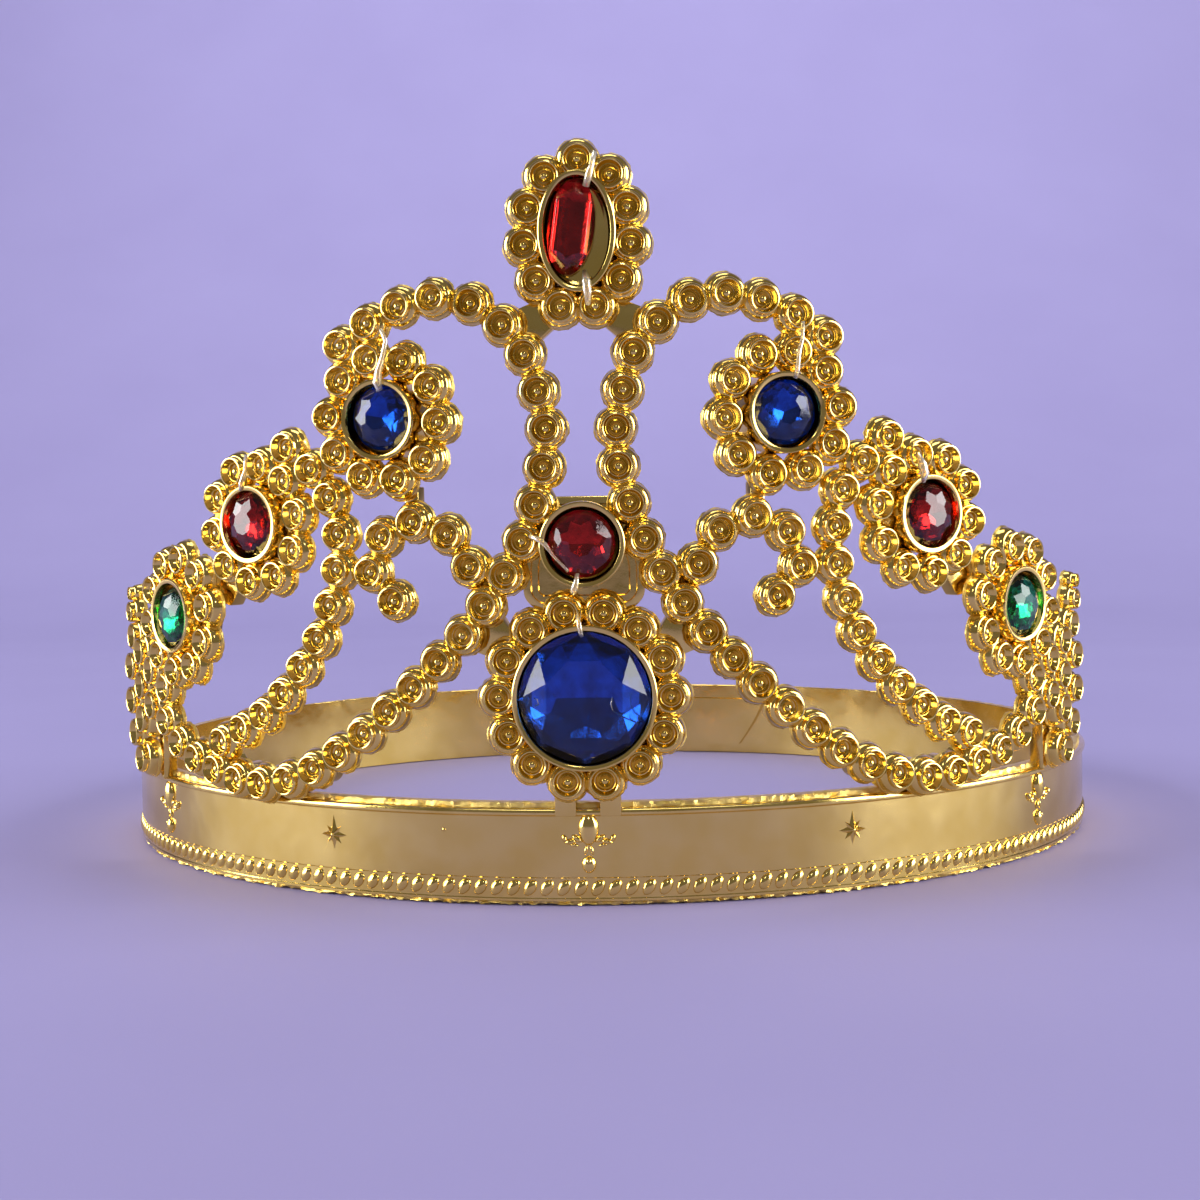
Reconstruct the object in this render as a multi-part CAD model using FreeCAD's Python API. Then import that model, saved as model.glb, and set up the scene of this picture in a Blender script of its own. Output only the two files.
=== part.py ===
import FreeCAD, Part
import math
import os

os.makedirs("parts", exist_ok=True)
V = FreeCAD.Vector

# Millimetres. +Z up, the front of the crown faces -Y, origin at the centre of the ring on the floor.
# The crown is one thin moulding of a band and open bead work, bent into a ring and hooked together
# at the back. Bead work is laid out on the flat sheet: s runs along the sheet from the front centre
# line to the wearer's left (+X) and z is the height. The sheet wraps round at pattern_radius.

# Band
band_face_radius = 90.0
band_wall = 2.5
band_height = 16.2
rim_bottom = 14.0
rim_top = 15.1
rim_stand = 0.5
back_flange_inset = 1.1
rail_bottom = 1.5
rail_top = 4.2
rail_stand = 0.45

# Strap end that laps inside the band at the back
lap_start_angle = 158.0
lap_end_angle = 176.0
lap_wall = 1.2
lap_edge_inset = 2.2
lap_end_taper = 6.0

# Beads
bead_stand = 4.6
bead_root = 1.5
bead_sides = 8
bead_back_radius = 3.4
bead_rim_radius = 2.65
bead_hole_depth = 1.5
bead_pitch = 5.8

# Rosettes of beads round a small round cup
small_ring_count = 10
blue_ring_centre = (31.4, 74.8)
blue_ring_phase = 4.7
red_ring_centre = (56.8, 59.0)
red_ring_phase = 27.0
green_ring_centre = (78.7, 43.8)
green_ring_phase = 26.0

# Rosette round the large cup
large_ring_count = 14
large_ring_height = 32.5
large_ring_phase = 0.0

# Oval rosette at the top
oval_ring_count = 11
oval_ring_height = 101.4
oval_ring_half_width = 8.0
oval_ring_half_height = 11.1

# Chains of beads: points that each curve passes, and how many beads stand along it
stem_points = [(8.3, 84.0), (5.4, 73.0), (7.2, 61.6), (12.1, 51.0), (23.5, 37.3), (36.9, 25.9),
               (46.6, 20.2), (57.4, 17.5), (68.6, 18.9), (79.3, 22.4), (84.2, 26.0), (83.8, 31.3)]
stem_count = 23
arch_points = [(11.9, 88.5), (16.7, 91.8), (22.3, 92.8), (28.2, 92.0), (38.9, 86.3)]
arch_count = 6
scroll_points = [(17.8, 52.2), (21.1, 57.2), (26.7, 59.2), (32.2, 56.7), (34.1, 51.2), (30.2, 47.1)]
scroll_count = 6
branch_points = [(49.6, 70.9), (41.4, 63.0), (40.2, 51.8), (44.5, 40.8), (51.8, 32.0), (61.1, 25.9),
                 (66.4, 23.6)]
branch_count = 12

# End rosette: one bead with a ring of beads round it, a foot of two beads and a tapering tip
end_centre = (94.2, 31.0)
end_ring_count = 6
end_ring_phase = 30.0
end_foot = [(98.4, 22.5), (95.0, 18.2)]
end_tip = [(98.4, 39.2, 0.95), (100.4, 43.4, 0.75), (101.6, 46.6, 0.5)]

# Cups that hold the stones
small_cup_sides = 16
large_cup_sides = 24
cup_wall = 0.9
cup_stand = 5.4
cup_floor_stand = 2.4
small_cup_radius = 6.2
centre_cup_radius = 6.5
centre_cup_gap = 0.1
large_cup_radius = 11.0
oval_cup_rise = 0.5
oval_cup_half_width = 5.85
oval_cup_half_height = 8.95

# Stones: flat backs glued on the cup floors, faceted domes in front
stone_clearance = 0.25
stone_girdle = 1.3
stone_girdle_sides = 16
small_stone_sides = 8
centre_stone_radius = 4.75
round_stone_height = 3.4
round_table_radius = 1.9
round_upper_tilt = 24.0
round_lower_tilt = 47.0
large_stone_height = 4.2
large_star_radius = 6.2
oval_stone_half_width = 3.95
oval_stone_half_height = 7.2
oval_stone_shift = -0.4
oval_stone_rise = 0.5
oval_stone_lean = 4.0
oval_stone_height = 3.6
oval_table_half_width = 0.8
oval_upper_tilt = 22.0
oval_lower_tilt = 52.0
oval_end_tilt = 40.0
oval_end_half_height = 5.0
stone_facets = 8

# Flat webs between the bead work, and the legs under the large rosette
web_stand = 1.0
leg_offset = 3.6
leg_width = 3.3
leg_top = 20.0
leg_stand = 0.8
post_width = 2.2
post_place = (27.9, 62.5)
post_length = 4.0
side_web = [(11.4, 41.6), (14.6, 38.2), (18.6, 39.6), (17.4, 44.0), (13.8, 45.4)]
top_web = [(3.6, 88.6), (8.2, 84.6), (11.6, 86.4), (10.6, 90.6), (5.6, 92.6)]
link_web = [(64.2, 53.6), (68.6, 54.2), (71.6, 50.4), (69.0, 46.0), (66.4, 45.6), (63.6, 49.2)]
foot_web = [(92.6, 14.6), (97.4, 14.6), (97.6, 20.4), (94.6, 24.6), (92.2, 24.0)]
dish_half_width = 9.2
dish_drop = 10.1
dish_corner = 3.0
dish_waist_drop = 2.4
dish_rise = 7.2
dish_top_half_width = 5.4
dish_pocket_edge = 1.2
dish_pocket_depth = 0.6

pattern_radius = band_face_radius + bead_stand
band_bore_radius = band_face_radius - band_wall
root_radius = band_face_radius - bead_root
cup_rim_radius = band_face_radius + cup_stand
cup_floor_radius = band_face_radius + cup_floor_stand
small_ring_radius = bead_pitch / 2 / math.sin(math.pi / small_ring_count)
large_ring_radius = bead_pitch / 2 / math.sin(math.pi / large_ring_count)
centre_cup_height = (large_ring_height + large_ring_radius + bead_back_radius + centre_cup_gap
                     + centre_cup_radius)
oval_cup_height = oval_ring_height + oval_cup_rise
dish_bottom = centre_cup_height - dish_drop
dish_waist = centre_cup_height - dish_waist_drop
dish_top = centre_cup_height + dish_rise


def wrap(s, z, radius, twist=0.0):
    """Placement with local x along the sheet, y up and z outward, at a distance from the axis."""
    angle = s / pattern_radius
    spot = V(radius * math.sin(angle), -radius * math.cos(angle), z)
    turn = FreeCAD.Rotation(V(0, 0, 1), math.degrees(angle)).multiply(FreeCAD.Rotation(V(1, 0, 0), 90))
    return FreeCAD.Placement(spot, turn.multiply(FreeCAD.Rotation(V(0, 0, 1), twist)))


def placed(shape, s, z, radius, twist=0.0):
    copy = shape.copy()
    copy.Placement = wrap(s, z, radius, twist)
    return copy


def flat_prism(half_width, half_height, depth, sides):
    """Upright prism whose corners lie on a circle or an oval."""
    corners = []
    for k in range(sides):
        a = 2 * math.pi * k / sides
        corners.append(V(half_width * math.sin(a), half_height * math.cos(a), 0))
    return Part.Face(Part.makePolygon(corners + corners[:1])).extrude(V(0, 0, depth))


def flat_turned(profile, sides):
    """Solid of flat faces round the local z axis; the profile ends in a point on the axis."""
    rings = []
    for rho, h in profile[:-1]:
        ring = []
        for k in range(sides):
            a = 2 * math.pi * (k + 0.5) / sides
            ring.append(V(rho * math.cos(a), rho * math.sin(a), h))
        rings.append(ring)
    apex = V(0, 0, profile[-1][1])
    faces = [Part.Face(Part.makePolygon(rings[0] + rings[0][:1]))]
    for low, high in zip(rings, rings[1:]):
        for k in range(sides):
            j = (k + 1) % sides
            faces.append(Part.Face(Part.makePolygon([low[k], low[j], high[j], high[k], low[k]])))
    last = rings[-1]
    for k in range(sides):
        j = (k + 1) % sides
        faces.append(Part.Face(Part.makePolygon([last[k], last[j], apex, last[k]])))
    return Part.makeSolid(Part.makeShell(faces))


def bead_solid(scale):
    """Barrel that narrows to a sharp rim round a pit."""
    front = bead_root + bead_stand
    profile = [
        (bead_back_radius * scale, 0.0),
        (bead_rim_radius * scale, front),
        (0.0, front - bead_hole_depth * scale),
    ]
    solid = flat_turned(profile, bead_sides)
    if solid.Volume < 0:
        solid.reverse()
    return solid


def along(points, count):
    """Evenly spaced places on a smooth curve through the points, each with the curve's direction."""
    curve = Part.BSplineCurve()
    curve.interpolate([V(s, z, 0) for s, z in points])
    spots = []
    for p in curve.discretize(Number=count):
        way = curve.tangent(curve.parameter(p))[0]
        spots.append((p.x, p.y, math.degrees(math.atan2(way.y, way.x))))
    return spots


def ring(count, phase, radius):
    """Places on a circle, each with a twist that turns a corner of the bead to the centre."""
    spots = []
    for k in range(count):
        a = phase + 360.0 * k / count
        x = radius * math.cos(math.radians(a))
        y = radius * math.sin(math.radians(a))
        spots.append((x, y, a + 180.0 / bead_sides))
    return spots


def oval_ring():
    """Evenly spaced places on the oval, starting from its top, each turned like the ring's."""
    oval = Part.Ellipse(V(0, oval_ring_half_height, 0), V(oval_ring_half_width, 0, 0), V(0, 0, 0))
    spots = []
    for p in oval.discretize(Number=oval_ring_count + 1)[:-1]:
        way = oval.tangent(oval.parameter(p))[0]
        turn = math.degrees(math.atan2(way.y, way.x)) + 90.0 + 180.0 / bead_sides
        spots.append((p.x, p.y, turn))
    return spots


def rosette(s, z, spots):
    """Beads that all face the way of the rosette's centre."""
    base = wrap(s, z, root_radius)
    beads = []
    for x, y, twist in spots:
        bead = masters[1.0].copy()
        turn = FreeCAD.Rotation(V(0, 0, 1), twist)
        bead.Placement = base.multiply(FreeCAD.Placement(V(x, y, 0), turn))
        beads.append(bead)
    return beads


def plate(outline, thickness_stand):
    """Flat web from the back of the bead work to a height over the band's face."""
    s0 = sum(p[0] for p in outline) / len(outline)
    z0 = sum(p[1] for p in outline) / len(outline)
    corners = [V(s - s0, z - z0, 0) for s, z in outline]
    face = Part.Face(Part.makePolygon(corners + corners[:1]))
    return placed(face.extrude(V(0, 0, bead_root + thickness_stand)), s0, z0, root_radius)


def block(s, z, width, height, stand):
    """Upright block from the back of the bead work to a height over the band's face."""
    box = Part.makeBox(width, height, bead_root + stand, V(-width / 2, -height / 2, 0))
    return placed(box, s, z, root_radius)


def cup(s, z, half_width, half_height, sides):
    """Round or oval cup with a flat floor and an upright wall."""
    depth = cup_rim_radius - root_radius
    outside = flat_prism(half_width, half_height, depth, sides)
    hollow = flat_prism(half_width - cup_wall, half_height - cup_wall, depth, sides)
    hollow.translate(V(0, 0, cup_floor_radius - root_radius))
    return placed(outside.cut(hollow), s, z, root_radius)


def mirrored(shape):
    return shape.mirror(V(0, 0, 0), V(1, 0, 0))


def ring_of(points):
    """Ring turned from a closed section given as radius and height."""
    corners = [V(r, 0, z) for r, z in points]
    face = Part.Face(Part.makePolygon(corners + corners[:1]))
    return face.revolve(V(0, 0, 0), V(0, 0, 1), 360)


def band():
    face = band_face_radius
    section = [
        (band_bore_radius, 0.0),
        (face, 0.0),
        (face, rail_bottom),
        (face + rail_stand, (rail_bottom + rail_top) / 2),
        (face, rail_top),
        (face, rim_bottom),
        (face + rim_stand, (rim_bottom + rim_top) / 2),
        (face - back_flange_inset, rim_top),
        (face - back_flange_inset, band_height),
        (band_bore_radius, band_height),
    ]
    return ring_of(section)


def lap():
    """Strap end inside the back of the band, with slanted corners at its free end."""
    outer = band_bore_radius
    inner = outer - lap_wall
    low = lap_edge_inset
    high = rim_top - lap_edge_inset
    corners = [V(inner, 0, low), V(outer, 0, low), V(outer, 0, high), V(inner, 0, high)]
    face = Part.Face(Part.makePolygon(corners + corners[:1]))
    strip = face.revolve(V(0, 0, 0), V(0, 0, 1), lap_end_angle - lap_start_angle)
    strip.rotate(V(0, 0, 0), V(0, 0, 1), lap_start_angle - 90)
    end = math.radians(lap_start_angle)
    middle = (low + high) / 2
    edge = [V(0, low, 0), V(lap_end_taper, low, 0), V(0, middle, 0), V(0, low, 0)]
    notch = Part.Face(Part.makePolygon(edge)).extrude(V(0, 0, 3 * lap_wall))
    notch.Placement = wrap(end * pattern_radius, 0, inner - lap_wall)
    strip = strip.cut(notch)
    return strip


def dish():
    """Plate behind the centre cup, with a shallow pocket in its lower half."""
    outline = [(-dish_half_width, dish_bottom + dish_corner),
               (-dish_half_width + dish_corner, dish_bottom),
               (dish_half_width - dish_corner, dish_bottom),
               (dish_half_width, dish_bottom + dish_corner),
               (dish_half_width, dish_waist), (dish_top_half_width, dish_top),
               (-dish_top_half_width, dish_top), (-dish_half_width, dish_waist)]
    body = plate(outline, web_stand)
    edge = dish_pocket_edge
    right = dish_half_width - edge
    low = dish_bottom + edge
    low_right = dish_half_width - dish_corner
    high = dish_waist - edge
    pocket = [(-right, dish_bottom + dish_corner), (-low_right, low), (low_right, low),
              (right, dish_bottom + dish_corner), (right, high), (-right, high)]
    corners = [V(s, z, 0) for s, z in pocket]
    hollow = Part.Face(Part.makePolygon(corners + corners[:1])).extrude(V(0, 0, web_stand))
    hollow.Placement = wrap(0, 0, band_face_radius + web_stand - dish_pocket_depth)
    return body.cut(hollow)


masters = {1.0: bead_solid(1.0)}
solids = []

# Beads of one side
for points, count in ((stem_points, stem_count), (arch_points, arch_count),
                      (scroll_points, scroll_count), (branch_points, branch_count)):
    for s, z, twist in along(points, count):
        solids.append(placed(masters[1.0], s, z, root_radius, twist))
for centre, phase in ((blue_ring_centre, blue_ring_phase), (red_ring_centre, red_ring_phase),
                      (green_ring_centre, green_ring_phase)):
    s, z = centre
    solids = solids + rosette(s, z, ring(small_ring_count, phase, small_ring_radius))
    solids.append(cup(s, z, small_cup_radius, small_cup_radius, small_cup_sides))
solids = solids + rosette(end_centre[0], end_centre[1],
                          [(0.0, 0.0, 0.0)] + ring(end_ring_count, end_ring_phase, bead_pitch))
for s, z in end_foot:
    solids.append(placed(masters[1.0], s, z, root_radius))
for s, z, scale in end_tip:
    solids.append(placed(bead_solid(scale), s, z, root_radius))

# Webs, post and leg of one side
for outline in (side_web, top_web, link_web, foot_web):
    solids.append(plate(outline, web_stand))
solids.append(block(post_place[0], post_place[1], post_width, post_length, web_stand))
leg_bottom = rim_bottom
solids.append(block(leg_offset, (leg_bottom + leg_top) / 2, leg_width, leg_top - leg_bottom, leg_stand))
solids = solids + [mirrored(one) for one in solids]

# Middle of the crown
solids = solids + rosette(0.0, large_ring_height,
                          ring(large_ring_count, large_ring_phase, large_ring_radius))
solids = solids + rosette(0.0, oval_ring_height, oval_ring())
solids.append(cup(0.0, large_ring_height, large_cup_radius, large_cup_radius, large_cup_sides))
solids.append(cup(0.0, centre_cup_height, centre_cup_radius, centre_cup_radius, small_cup_sides))
solids.append(cup(0.0, oval_cup_height, oval_cup_half_width, oval_cup_half_height, small_cup_sides))
solids.append(dish())
solids.append(lap())

crown = band().multiFuse(solids).removeSplitter()
crown.exportStep("parts/crown_frame.step")
print("crown_frame solids", len(crown.Solids), "valid", crown.isValid(), "volume", crown.Volume)


def facet(stone, turn, tilt, at, height):
    """Cut off what lies above a plane that slopes down outward through a point on the dome."""
    size = 60.0
    cutter = Part.makeBox(size, size, size, V(-size / 2, -size / 2, 0))
    cutter.rotate(V(0, 0, 0), V(0, 1, 0), tilt)
    cutter.translate(V(at, 0, height))
    cutter.rotate(V(0, 0, 0), V(0, 0, 1), turn)
    return stone.cut(cutter)


def round_stone(radius):
    """Flat back, upright girdle, and two rows of facets up to a small flat table."""
    stone = flat_prism(radius, radius, round_stone_height, small_stone_sides)
    step = 360.0 / stone_facets
    for k in range(stone_facets):
        stone = facet(stone, k * step, round_upper_tilt, round_table_radius, round_stone_height)
        stone = facet(stone, (k + 0.5) * step, round_lower_tilt, radius, stone_girdle)
    return stone


def star_stone(radius):
    """Flat octagonal table, a star of eight triangles to the rim and eight triangles between."""
    stone = flat_prism(radius, radius, large_stone_height, stone_girdle_sides)
    step = 360.0 / stone_facets
    rise = large_stone_height - stone_girdle
    table_flat = large_star_radius * math.cos(math.pi / stone_facets)
    star_tilt = math.degrees(math.atan2(rise, radius - table_flat))
    chord = radius * math.cos(math.pi / stone_facets)
    rim_tilt = math.degrees(math.atan2(rise, chord - large_star_radius))
    for k in range(stone_facets):
        stone = facet(stone, 90 + k * step, star_tilt, table_flat, large_stone_height)
        stone = facet(stone, 90 + (k + 0.5) * step, rim_tilt, large_star_radius, large_stone_height)
    return stone


def oval_stone():
    """Long step cut: a narrow table with two strips down each side and one at each end."""
    stone = flat_prism(oval_stone_half_width, oval_stone_half_height, oval_stone_height,
                       stone_girdle_sides)
    for turn in (0, 180):
        stone = facet(stone, turn, oval_upper_tilt, oval_table_half_width, oval_stone_height)
        stone = facet(stone, turn, oval_lower_tilt, oval_stone_half_width, stone_girdle)
    for turn in (90, 270):
        stone = facet(stone, turn, oval_end_tilt, oval_end_half_height, oval_stone_height)
    return stone


small_stone = round_stone(small_cup_radius - cup_wall - stone_clearance)
for colour, centre in (("blue", blue_ring_centre), ("red", red_ring_centre),
                       ("green", green_ring_centre)):
    left = placed(small_stone, centre[0], centre[1], cup_floor_radius)
    left.exportStep("parts/left_%s_gem.step" % colour)
    mirrored(left).exportStep("parts/right_%s_gem.step" % colour)
placed(round_stone(centre_stone_radius), 0, centre_cup_height, cup_floor_radius).exportStep(
    "parts/centre_red_gem.step")
large_stone = star_stone(large_cup_radius - cup_wall - stone_clearance)
placed(large_stone, 0, large_ring_height, cup_floor_radius).exportStep("parts/large_blue_gem.step")
placed(oval_stone(), oval_stone_shift, oval_cup_height + oval_stone_rise, cup_floor_radius,
       -oval_stone_lean).exportStep("parts/oval_red_gem.step")
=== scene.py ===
import math
import random

import bmesh
import bpy
import numpy as np
from mathutils import Matrix, Vector

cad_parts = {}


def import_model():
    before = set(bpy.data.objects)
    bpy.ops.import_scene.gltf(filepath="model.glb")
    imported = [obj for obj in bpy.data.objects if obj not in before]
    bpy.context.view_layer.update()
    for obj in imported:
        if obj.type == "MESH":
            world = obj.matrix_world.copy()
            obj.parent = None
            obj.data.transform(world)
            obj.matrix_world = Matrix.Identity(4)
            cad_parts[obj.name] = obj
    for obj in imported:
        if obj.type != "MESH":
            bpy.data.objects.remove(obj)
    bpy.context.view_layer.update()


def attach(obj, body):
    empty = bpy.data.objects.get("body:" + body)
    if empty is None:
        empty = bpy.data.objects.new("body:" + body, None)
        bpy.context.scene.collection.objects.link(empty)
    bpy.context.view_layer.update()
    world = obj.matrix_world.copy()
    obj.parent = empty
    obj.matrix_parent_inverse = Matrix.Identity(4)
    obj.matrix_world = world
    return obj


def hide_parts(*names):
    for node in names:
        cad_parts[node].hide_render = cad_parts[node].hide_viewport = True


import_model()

# Sizes are in millimetres and become metres in MM. The crown's front faces -Y and the origin is the
# centre of the ring on the floor. Places on the bead work are given on the flat sheet: s runs from
# the front centre line to +X and z is the height. The sheet wraps round at PATTERN_RADIUS.
MM = 0.001
rng = random.Random(41)

# Band
FACE = 90.0
BORE = 87.5
BAND_SIDES = 900
RIM_LOW = 14.0
RIM_HIGH = 15.1
RIM_STAND = 0.5
FLANGE_INSET = 0.7
LIP_HEIGHT = 0.6
LIP_INSET = 0.4
RAIL_HEIGHT = 2.85
RAIL_STEP = 0.12
GADROONS = 216
GADROON_HALF = (0.96, 1.45, 0.62)
GADROON_LEAN = -34.0
LAP_START = 158.0
LAP_END = 176.0
LAP_WALL = 1.2
LAP_EDGE = 2.2
LAP_SLANT = 4.0
STAR_PLACES = (-27.0, 27.0)
STAR_HEIGHT = 9.8
FLEUR_PLACES = (-56.0, 0.0, 56.0)
FLEUR_HEIGHT = 12.0
PIMPLE_PLACE = (-14.5, 11.6)
PIMPLE_HALF = (0.32, 0.32, 0.25)

# Bead work
STAND = 4.6
ROOT = 1.5
PITCH = 5.8
PATTERN_RADIUS = FACE + STAND
ROOT_RADIUS = FACE - ROOT
BEAD_SIDES = 30
BEAD_LEAN = 1.2
BEAD_SHIFT = 0.07
BLUE_RING = (31.4, 74.8, 4.7)
RED_RING = (56.8, 59.0, 27.0)
GREEN_RING = (78.7, 43.8, 26.0)
SMALL_RING_COUNT = 10
LARGE_RING_COUNT = 14
LARGE_RING_HEIGHT = 32.5
OVAL_RING_COUNT = 11
OVAL_RING_HEIGHT = 101.4
OVAL_RING_HALF = (8.0, 11.1)
STEM = [(8.3, 84.0), (5.4, 73.0), (7.2, 61.6), (12.1, 51.0), (23.5, 37.3), (36.9, 25.9),
        (46.6, 20.2), (57.4, 17.5), (68.6, 18.9), (79.3, 22.4), (84.2, 26.0), (83.8, 31.3)]
STEM_COUNT = 23
ARCH = [(11.9, 88.5), (16.7, 91.8), (22.3, 92.8), (28.2, 92.0), (38.9, 86.3)]
ARCH_COUNT = 6
SCROLL = [(17.8, 52.2), (21.1, 57.2), (26.7, 59.2), (32.2, 56.7), (34.1, 51.2), (30.2, 47.1)]
SCROLL_COUNT = 6
BRANCH = [(49.6, 70.9), (41.4, 63.0), (40.2, 51.8), (44.5, 40.8), (51.8, 32.0), (61.1, 25.9),
          (66.4, 23.6)]
BRANCH_COUNT = 12
END_CENTRE = (94.2, 31.0)
END_COUNT = 6
END_PHASE = 30.0
END_FOOT = [(98.4, 22.5), (95.0, 18.2)]
END_TIP = [(98.4, 39.2, 0.95), (100.4, 43.4, 0.75), (101.6, 46.6, 0.5)]

# Cups and stones
CUP_WALL = 0.9
CUP_STAND = 5.4
CUP_FLOOR = 2.4
SMALL_CUP = 6.2
LARGE_CUP = 11.0
CENTRE_CUP = 6.5
OVAL_CUP = (5.85, 8.95)
DISH_EDGE = 3.4
DISH_GAP = 0.1
FLOOR_RADIUS = FACE + CUP_FLOOR
STONE_REST = 0.3
SMALL_STONE = 4.9
CENTRE_STONE = 5.05
CENTRE_STONE_SHIFT = (-0.1, 0.1)
CENTRE_STONE_TURN = 12.0
STONE_PLAY = 0.18
LARGE_STONE = LARGE_CUP - CUP_WALL - STONE_PLAY
OVAL_STONE = (3.5, 7.2)
OVAL_STONE_SHIFT = (-0.85, 0.7)
OVAL_STONE_TURN = -8.0
OVAL_STONE_EDGE = 0.045
STONE_WELD = 0.001
LARGE_RING_RADIUS = PITCH / 2 / math.sin(math.pi / LARGE_RING_COUNT)
SMALL_RING_RADIUS = PITCH / 2 / math.sin(math.pi / SMALL_RING_COUNT)
CENTRE_CUP_HEIGHT = LARGE_RING_HEIGHT + LARGE_RING_RADIUS + DISH_EDGE + DISH_GAP + CENTRE_CUP
OVAL_CUP_HEIGHT = OVAL_RING_HEIGHT + 0.5

# Backdrop
SWEEP_HALF = 2400.0
SWEEP_FRONT = -1500.0
SWEEP_BEND = 500.0
SWEEP_RADIUS = 900.0
SWEEP_TOP = 1900.0
SWEEP_STEPS = 24

# Colours
GOLD_COLOURS = ((0.84, 0.60, 0.15), (0.89, 0.66, 0.20))
BLUE_COLOURS = ((0.004, 0.04, 0.36), (0.008, 0.085, 0.54))
RED_COLOURS = ((0.40, 0.007, 0.008), (0.64, 0.018, 0.012))
GREEN_COLOURS = ((0.006, 0.33, 0.11), (0.012, 0.55, 0.2))
GLUE_COLOURS = ((0.86, 0.70, 0.38), (0.95, 0.86, 0.60))
PAPER_COLOURS = ((0.30, 0.27, 0.51), (0.315, 0.285, 0.53))
FOIL_COLOUR = (0.92, 0.92, 0.93)
ROOM_COLOUR = (0.90, 0.84, 0.92)
ROOM_STRENGTH = 0.18

# Camera, from the fitted perspective of the photograph
CAMERA_PLACE = (16.3, -400.5, 65.4)
CAMERA_TURN = 2.575
CAMERA_DIP = 3.399
CAMERA_ROLL = -0.968
CAMERA_LENS = 61.64
CAMERA_SENSOR = 36.0


def wrap(s, z, radius, twist=0.0):
    """Placement with local x along the sheet, y up and z outward."""
    a = s / PATTERN_RADIUS
    spot = Matrix.Translation(Vector((radius * math.sin(a), -radius * math.cos(a), z)) * MM)
    turn = Matrix.Rotation(a, 4, "Z") @ Matrix.Rotation(math.radians(90), 4, "X")
    return spot @ turn @ Matrix.Rotation(math.radians(twist), 4, "Z") @ Matrix.Scale(MM, 4)


def placed(name, data):
    """New object in the scene."""
    thing = bpy.data.objects.new(name, data)
    bpy.context.scene.collection.objects.link(thing)
    return thing


class Shell:
    """Collects faces of one piece, each with a number that says which of its materials it takes."""

    def __init__(self):
        self.points = []
        self.faces = []
        self.skins = []

    def add(self, points, faces, skin=0):
        base = len(self.points)
        self.points.extend(points)
        for k, face in enumerate(faces):
            self.faces.append([base + i for i in face])
            self.skins.append(skin[k] if isinstance(skin, list) else skin)

    def piece(self, name, materials, node, crease=32.0):
        mesh = bpy.data.meshes.new(name)
        mesh.from_pydata([tuple(p) for p in self.points], [], self.faces)
        for paint in materials:
            mesh.materials.append(paint)
        mesh.polygons.foreach_set("material_index", self.skins)
        mesh.update()
        mesh.shade_smooth()
        if crease < 180:
            mesh.set_sharp_from_angle(angle=math.radians(crease))
        thing = placed(name, mesh)
        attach(thing, "root")
        if node:
            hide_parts(node)


def between(rings, sides, tip=False):
    """Faces that join rings of points in turn. With a tip, the last ring is a single point."""
    faces = []
    for k in range(rings - 1):
        for j in range(sides):
            low = k * sides + j
            beside = k * sides + (j + 1) % sides
            if tip and k == rings - 2:
                faces.append([low, beside, (k + 1) * sides])
            else:
                faces.append([low, beside, beside + sides, low + sides])
    return faces


def turned(shell, rings, place, sides):
    """Turned form round the local z axis, from rings of radius, height, how ragged, and skin."""
    points = []
    rows = []
    for rho, h, rough, _ in rings:
        row = []
        if rho < 1e-6:
            points.append(place @ Vector((0, 0, h)))
            rows.append([len(points) - 1] * sides)
            continue
        for j in range(sides):
            a = 2 * math.pi * j / sides
            grow = rho + rough * rng.uniform(-1, 1)
            lift = h + 0.6 * rough * rng.uniform(-1, 1)
            points.append(place @ Vector((grow * math.cos(a), grow * math.sin(a), lift)))
            row.append(len(points) - 1)
        rows.append(row)
    faces = []
    marks = []
    for k in range(len(rows) - 1):
        low, high = rows[k], rows[k + 1]
        for j in range(sides):
            i = (j + 1) % sides
            corners = [low[j], low[i], high[i], high[j]]
            face = [c for n, c in enumerate(corners) if c not in corners[:n]]
            if len(face) > 2:
                faces.append(face)
                marks.append(rings[k][3])
    shell.add(points, faces, marks)


# Rings of a bead: radius, height over the root, how ragged it is, and the skin of the strip that
# follows, 0 for polished and 1 for grainy
BEAD_RINGS = [
    (3.15, 2.95, 0.08, 1), (3.38, 3.15, 0.13, 1), (3.36, 3.42, 0.12, 1), (3.24, 3.62, 0.03, 0),
    (3.2, 3.9, 0.0, 0), (3.12, 4.25, 0.0, 0), (2.98, 4.6, 0.0, 0), (2.78, 4.88, 0.0, 0),
    (2.58, 5.02, 0.0, 0), (2.46, 5.06, 0.0, 0), (2.4, 5.14, 0.0, 0), (2.4, 5.6, 0.0, 0),
    (2.36, 5.86, 0.0, 0), (2.26, 6.01, 0.0, 0), (2.1, 6.05, 0.0, 0), (1.98, 5.98, 0.0, 0),
    (1.9, 5.8, 0.0, 0), (1.66, 5.02, 0.0, 0), (1.58, 4.93, 0.0, 0), (1.46, 4.94, 0.0, 0),
    (1.36, 4.82, 0.0, 0), (1.28, 4.46, 0.0, 0), (1.05, 4.32, 0.0, 0), (0.86, 4.4, 0.0, 0),
    (0.8, 4.66, 0.0, 0), (0.68, 4.98, 0.0, 0), (0.45, 5.2, 0.0, 0), (0.2, 5.3, 0.0, 0),
    (0.0, 5.32, 0.0, 0),
]
HOLLOW_BACK = [(0.0, 3.5, 0.0, 0), (1.5, 3.45, 0.0, 0), (1.75, 3.3, 0.0, 0), (1.85, 2.9, 0.0, 0),
               (2.0, 2.8, 0.0, 0), (2.8, 2.8, 0.02, 1)]
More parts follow.
